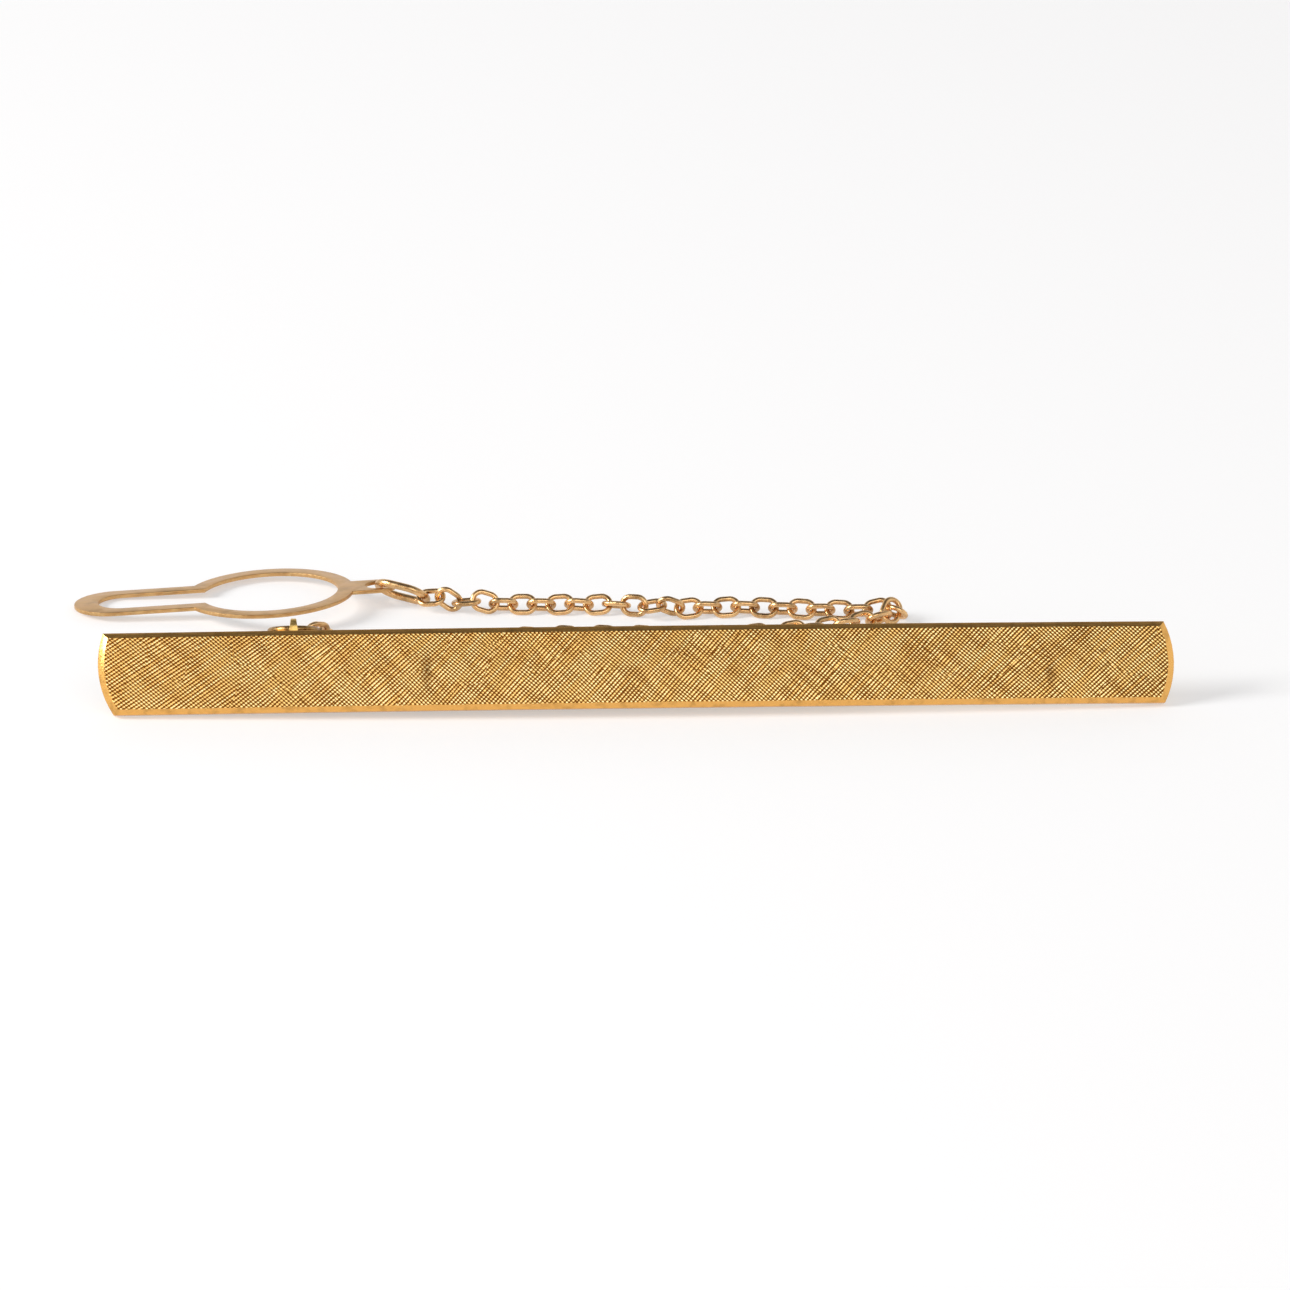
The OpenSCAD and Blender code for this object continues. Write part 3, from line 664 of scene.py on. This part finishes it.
class TIEBAR_OT_spring(bpy.types.Operator):
    """Winds the wire spring on the hinge, one leg on the base and one under the thumb tab"""

    bl_idname = "tiebar.spring"
    bl_label = "Spring"

    def execute(self, context):
        plating, clip = context.scene.tiebar_plating, context.scene.tiebar_spring
        bpy.ops.object.select_all(action="DESELECT")
        bpy.ops.mesh.primitive_circle_add(
            vertices=WIRE_SIDES, radius=clip.wire / 2,
            location=(0, -clip.coil, 0), rotation=(0, math.pi / 2, 0))
        spring = bpy.context.object
        spring.name = spring.data.name = "wire_spring"
        bpy.ops.object.transform_apply(location=True, rotation=True, scale=True)
        winding = spring.modifiers.new("winding", "SCREW")
        winding.axis = "Z"
        winding.angle = clip.turn
        winding.screw_offset = clip.pitch * clip.turn / math.tau
        winding.steps = winding.render_steps = COIL_STEPS
        winding.use_smooth_shade = True
        bpy.ops.object.modifier_apply(modifier=winding.name)
        last = clip.turn - math.pi / 2
        end = Vector((math.cos(last), math.sin(last), 0)) * clip.coil
        end.z = clip.pitch * clip.turn / math.tau
        straight = Vector((-math.sin(last), math.cos(last), 0))
        self.leg(spring, Vector((0, -clip.coil, 0)), Vector((-clip.leg, 0, 0)), clip.wire)
        self.leg(spring, end, straight * clip.leg, clip.wire)
        bpy.ops.object.mode_set(mode="EDIT")
        bpy.ops.mesh.select_all(action="SELECT")
        bpy.ops.mesh.remove_doubles(threshold=WIRE_DOUBLES)
        bpy.ops.mesh.normals_make_consistent(inside=False)
        bpy.ops.object.mode_set(mode="OBJECT")
        bpy.ops.object.shade_smooth_by_angle(angle=WIRE_SMOOTH_ANGLE)
        hinge = on_bar(*HINGE)
        half_coil = bar_direction(0, 0, 1) * (end.z / 2)
        spring.rotation_euler = (-LEAN, 0, 0)
        spring.location = hinge - half_coil
        only(spring)
        bpy.ops.object.transform_apply(location=True, rotation=True, scale=True)
        dress(spring, spring_steel(plating))
        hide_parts("torsion_spring")
        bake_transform(spring)
        return {"FINISHED"}

    def leg(self, spring, start, run, wire):
        """Draws the wire's open end at start out straight by run, and closes it."""
        only(spring)
        bpy.ops.object.mode_set(mode="EDIT")
        bpy.ops.mesh.select_mode(type="VERT")
        bpy.ops.mesh.select_all(action="DESELECT")
        bpy.ops.object.mode_set(mode="OBJECT")
        for vertex in spring.data.vertices:
            vertex.select = (vertex.co - start).length < wire * END_REACH
        bpy.ops.object.mode_set(mode="EDIT")
        bpy.ops.mesh.extrude_region_move(TRANSFORM_OT_translate={"value": run})
        bpy.ops.mesh.edge_face_add()
        bpy.ops.object.mode_set(mode="OBJECT")


class TIEBAR_OT_chain(bpy.types.Operator):
    """Plates the chain, the ring at its start and the ring at its end"""

    bl_idname = "tiebar.chain"
    bl_label = "Chain"

    def execute(self, context):
        plating = context.scene.tiebar_plating
        gold = satin_gold("chain_gold", plating.chain, plating, rough=(0.2, 0.36), toning=0.55)
        for node in CHAIN_NODES:
            dress(frame["nodes"][node], gold)
        # The lug ring gets the darker ring gold as painted shade.
        ring_gold_in_painted_shade = satin_gold("ring_gold_in_painted_shade", plating.ring, plating, rough=(0.24, 0.4))
        dress(frame["nodes"]["lug_ring"], ring_gold_in_painted_shade)
        return {"FINISHED"}


class TIEBAR_OT_loop(bpy.types.Operator):
    """Plates the stamped button loop in a paler gold"""

    bl_idname = "tiebar.loop"
    bl_label = "Button loop"

    def execute(self, context):
        plating = context.scene.tiebar_plating
        loop = rounded_copy("button_loop", "stamped_loop", LOOP_EDGE, LOOP_CORNER)
        gold = satin_gold(
            "loop_gold", plating.loop, plating,
            grain=(0.5, 2.5, 2.5), rough=(0.3, 0.46), toning=0.3)
        dress(loop, gold)
        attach(loop, "button_loop")
        return {"FINISHED"}


class TIEBAR_OT_studio(bpy.types.Operator):
    """Lays the pale table, sets the soft lamps and places the camera"""

    bl_idname = "tiebar.studio"
    bl_label = "Table, lamps and camera"

    def execute(self, context):
        studio = context.scene.tiebar_studio
        self.table(studio)
        self.sky(context)
        self.lamp("key_lamp", KEY_PLACE, KEY_SIZE, studio.key)
        self.lamp("front_lamp", FRONT_PLACE, FRONT_SIZE, studio.front)
        self.camera(context, studio)
        context.scene.view_settings.view_transform = "Standard"
        return {"FINISHED"}

    def table(self, studio):
        bpy.ops.object.select_all(action="DESELECT")
        bpy.ops.mesh.primitive_plane_add(size=TABLE_SIZE, location=(0, 0, -TABLE_DROP))
        table = bpy.context.object
        table.name = "table"
        dress(table, table_paper(studio.table))

    def sky(self, context):
        world = context.scene.world or bpy.data.worlds.new("studio")
        context.scene.world = world
        world.use_nodes = True
        nodes, links = world.node_tree.nodes, world.node_tree.links
        nodes.clear()
        out = nodes.new("ShaderNodeOutputWorld")
        light = nodes.new("ShaderNodeBackground")
        where = nodes.new("ShaderNodeTexCoord")
        split = nodes.new("ShaderNodeSeparateXYZ")
        ramp = nodes.new("ShaderNodeValToRGB")
        links.new(where.outputs["Generated"], split.inputs[0])
        links.new(split.outputs["Z"], ramp.inputs[0])
        links.new(ramp.outputs[0], light.inputs[0])
        links.new(light.outputs[0], out.inputs[0])
        steps = ramp.color_ramp.elements
        for height, _ in SKY[1:-1]:
            steps.new(height)
        for step, (height, colour) in zip(steps, SKY):
            step.position = height
            step.color = (*colour, 1.0)

    def lamp(self, name, place, size, power):
        bpy.ops.object.light_add(type="AREA", location=place)
        lamp = bpy.context.object
        lamp.name = name
        lamp.data.shape = "SQUARE"
        lamp.data.size = size
        lamp.data.energy = power
        lamp.rotation_euler = (-Vector(place)).to_track_quat("-Z", "Y").to_euler()

    def camera(self, context, studio):
        turn, rise = studio.azimuth, studio.elevation
        back = Vector((
            math.sin(turn) * math.cos(rise), -math.cos(turn) * math.cos(rise), math.sin(rise)))
        bpy.ops.object.camera_add(location=CAMERA_TARGET + back * studio.distance)
        camera = bpy.context.object
        camera.name = "camera"
        level = (-back).to_track_quat("-Z", "Y").to_matrix()
        camera.rotation_euler = (level @ Matrix.Rotation(studio.roll, 3, "Z")).to_euler()
        camera.data.lens = studio.lens
        camera.data.sensor_width = SENSOR_WIDTH
        camera.data.clip_start = 0.01
        camera.data.clip_end = 20
        context.scene.camera = camera


class TIEBAR_PT_bench(bpy.types.Panel):
    """Lists the tie bar's settings and its operators."""

    bl_label = "Tie bar"
    bl_idname = "TIEBAR_PT_bench"
    bl_space_type = "VIEW_3D"
    bl_region_type = "UI"
    bl_category = "Tie bar"

    def draw(self, context):
        scene = context.scene
        groups = (
            scene.tiebar_plating, scene.tiebar_engraving, scene.tiebar_spring,
            scene.tiebar_studio)
        for group in groups:
            box = self.layout.box()
            for name in type(group).__annotations__:
                box.prop(group, name)
        for step in STEPS:
            self.layout.operator(step.bl_idname)


STEPS = (
    TIEBAR_OT_plate, TIEBAR_OT_clip, TIEBAR_OT_spring,
    TIEBAR_OT_chain, TIEBAR_OT_loop, TIEBAR_OT_studio,
)
CLASSES = (
    TieBarPlating, TieBarEngraving, TieBarSpring, TieBarStudio,
    *STEPS, TIEBAR_PT_bench,
)


def register():
    for kind in CLASSES:
        bpy.utils.register_class(kind)
    bpy.types.Scene.tiebar_plating = PointerProperty(type=TieBarPlating)
    bpy.types.Scene.tiebar_engraving = PointerProperty(type=TieBarEngraving)
    bpy.types.Scene.tiebar_spring = PointerProperty(type=TieBarSpring)
    bpy.types.Scene.tiebar_studio = PointerProperty(type=TieBarStudio)


def unregister():
    del bpy.types.Scene.tiebar_plating
    del bpy.types.Scene.tiebar_engraving
    del bpy.types.Scene.tiebar_spring
    del bpy.types.Scene.tiebar_studio
    for kind in reversed(CLASSES):
        bpy.utils.unregister_class(kind)


def main():
    register()
    bpy.ops.tiebar.plate()
    bpy.ops.tiebar.clip()
    bpy.ops.tiebar.spring()
    bpy.ops.tiebar.chain()
    bpy.ops.tiebar.loop()
    bpy.ops.tiebar.studio()


if __name__ == "__main__":
    main()
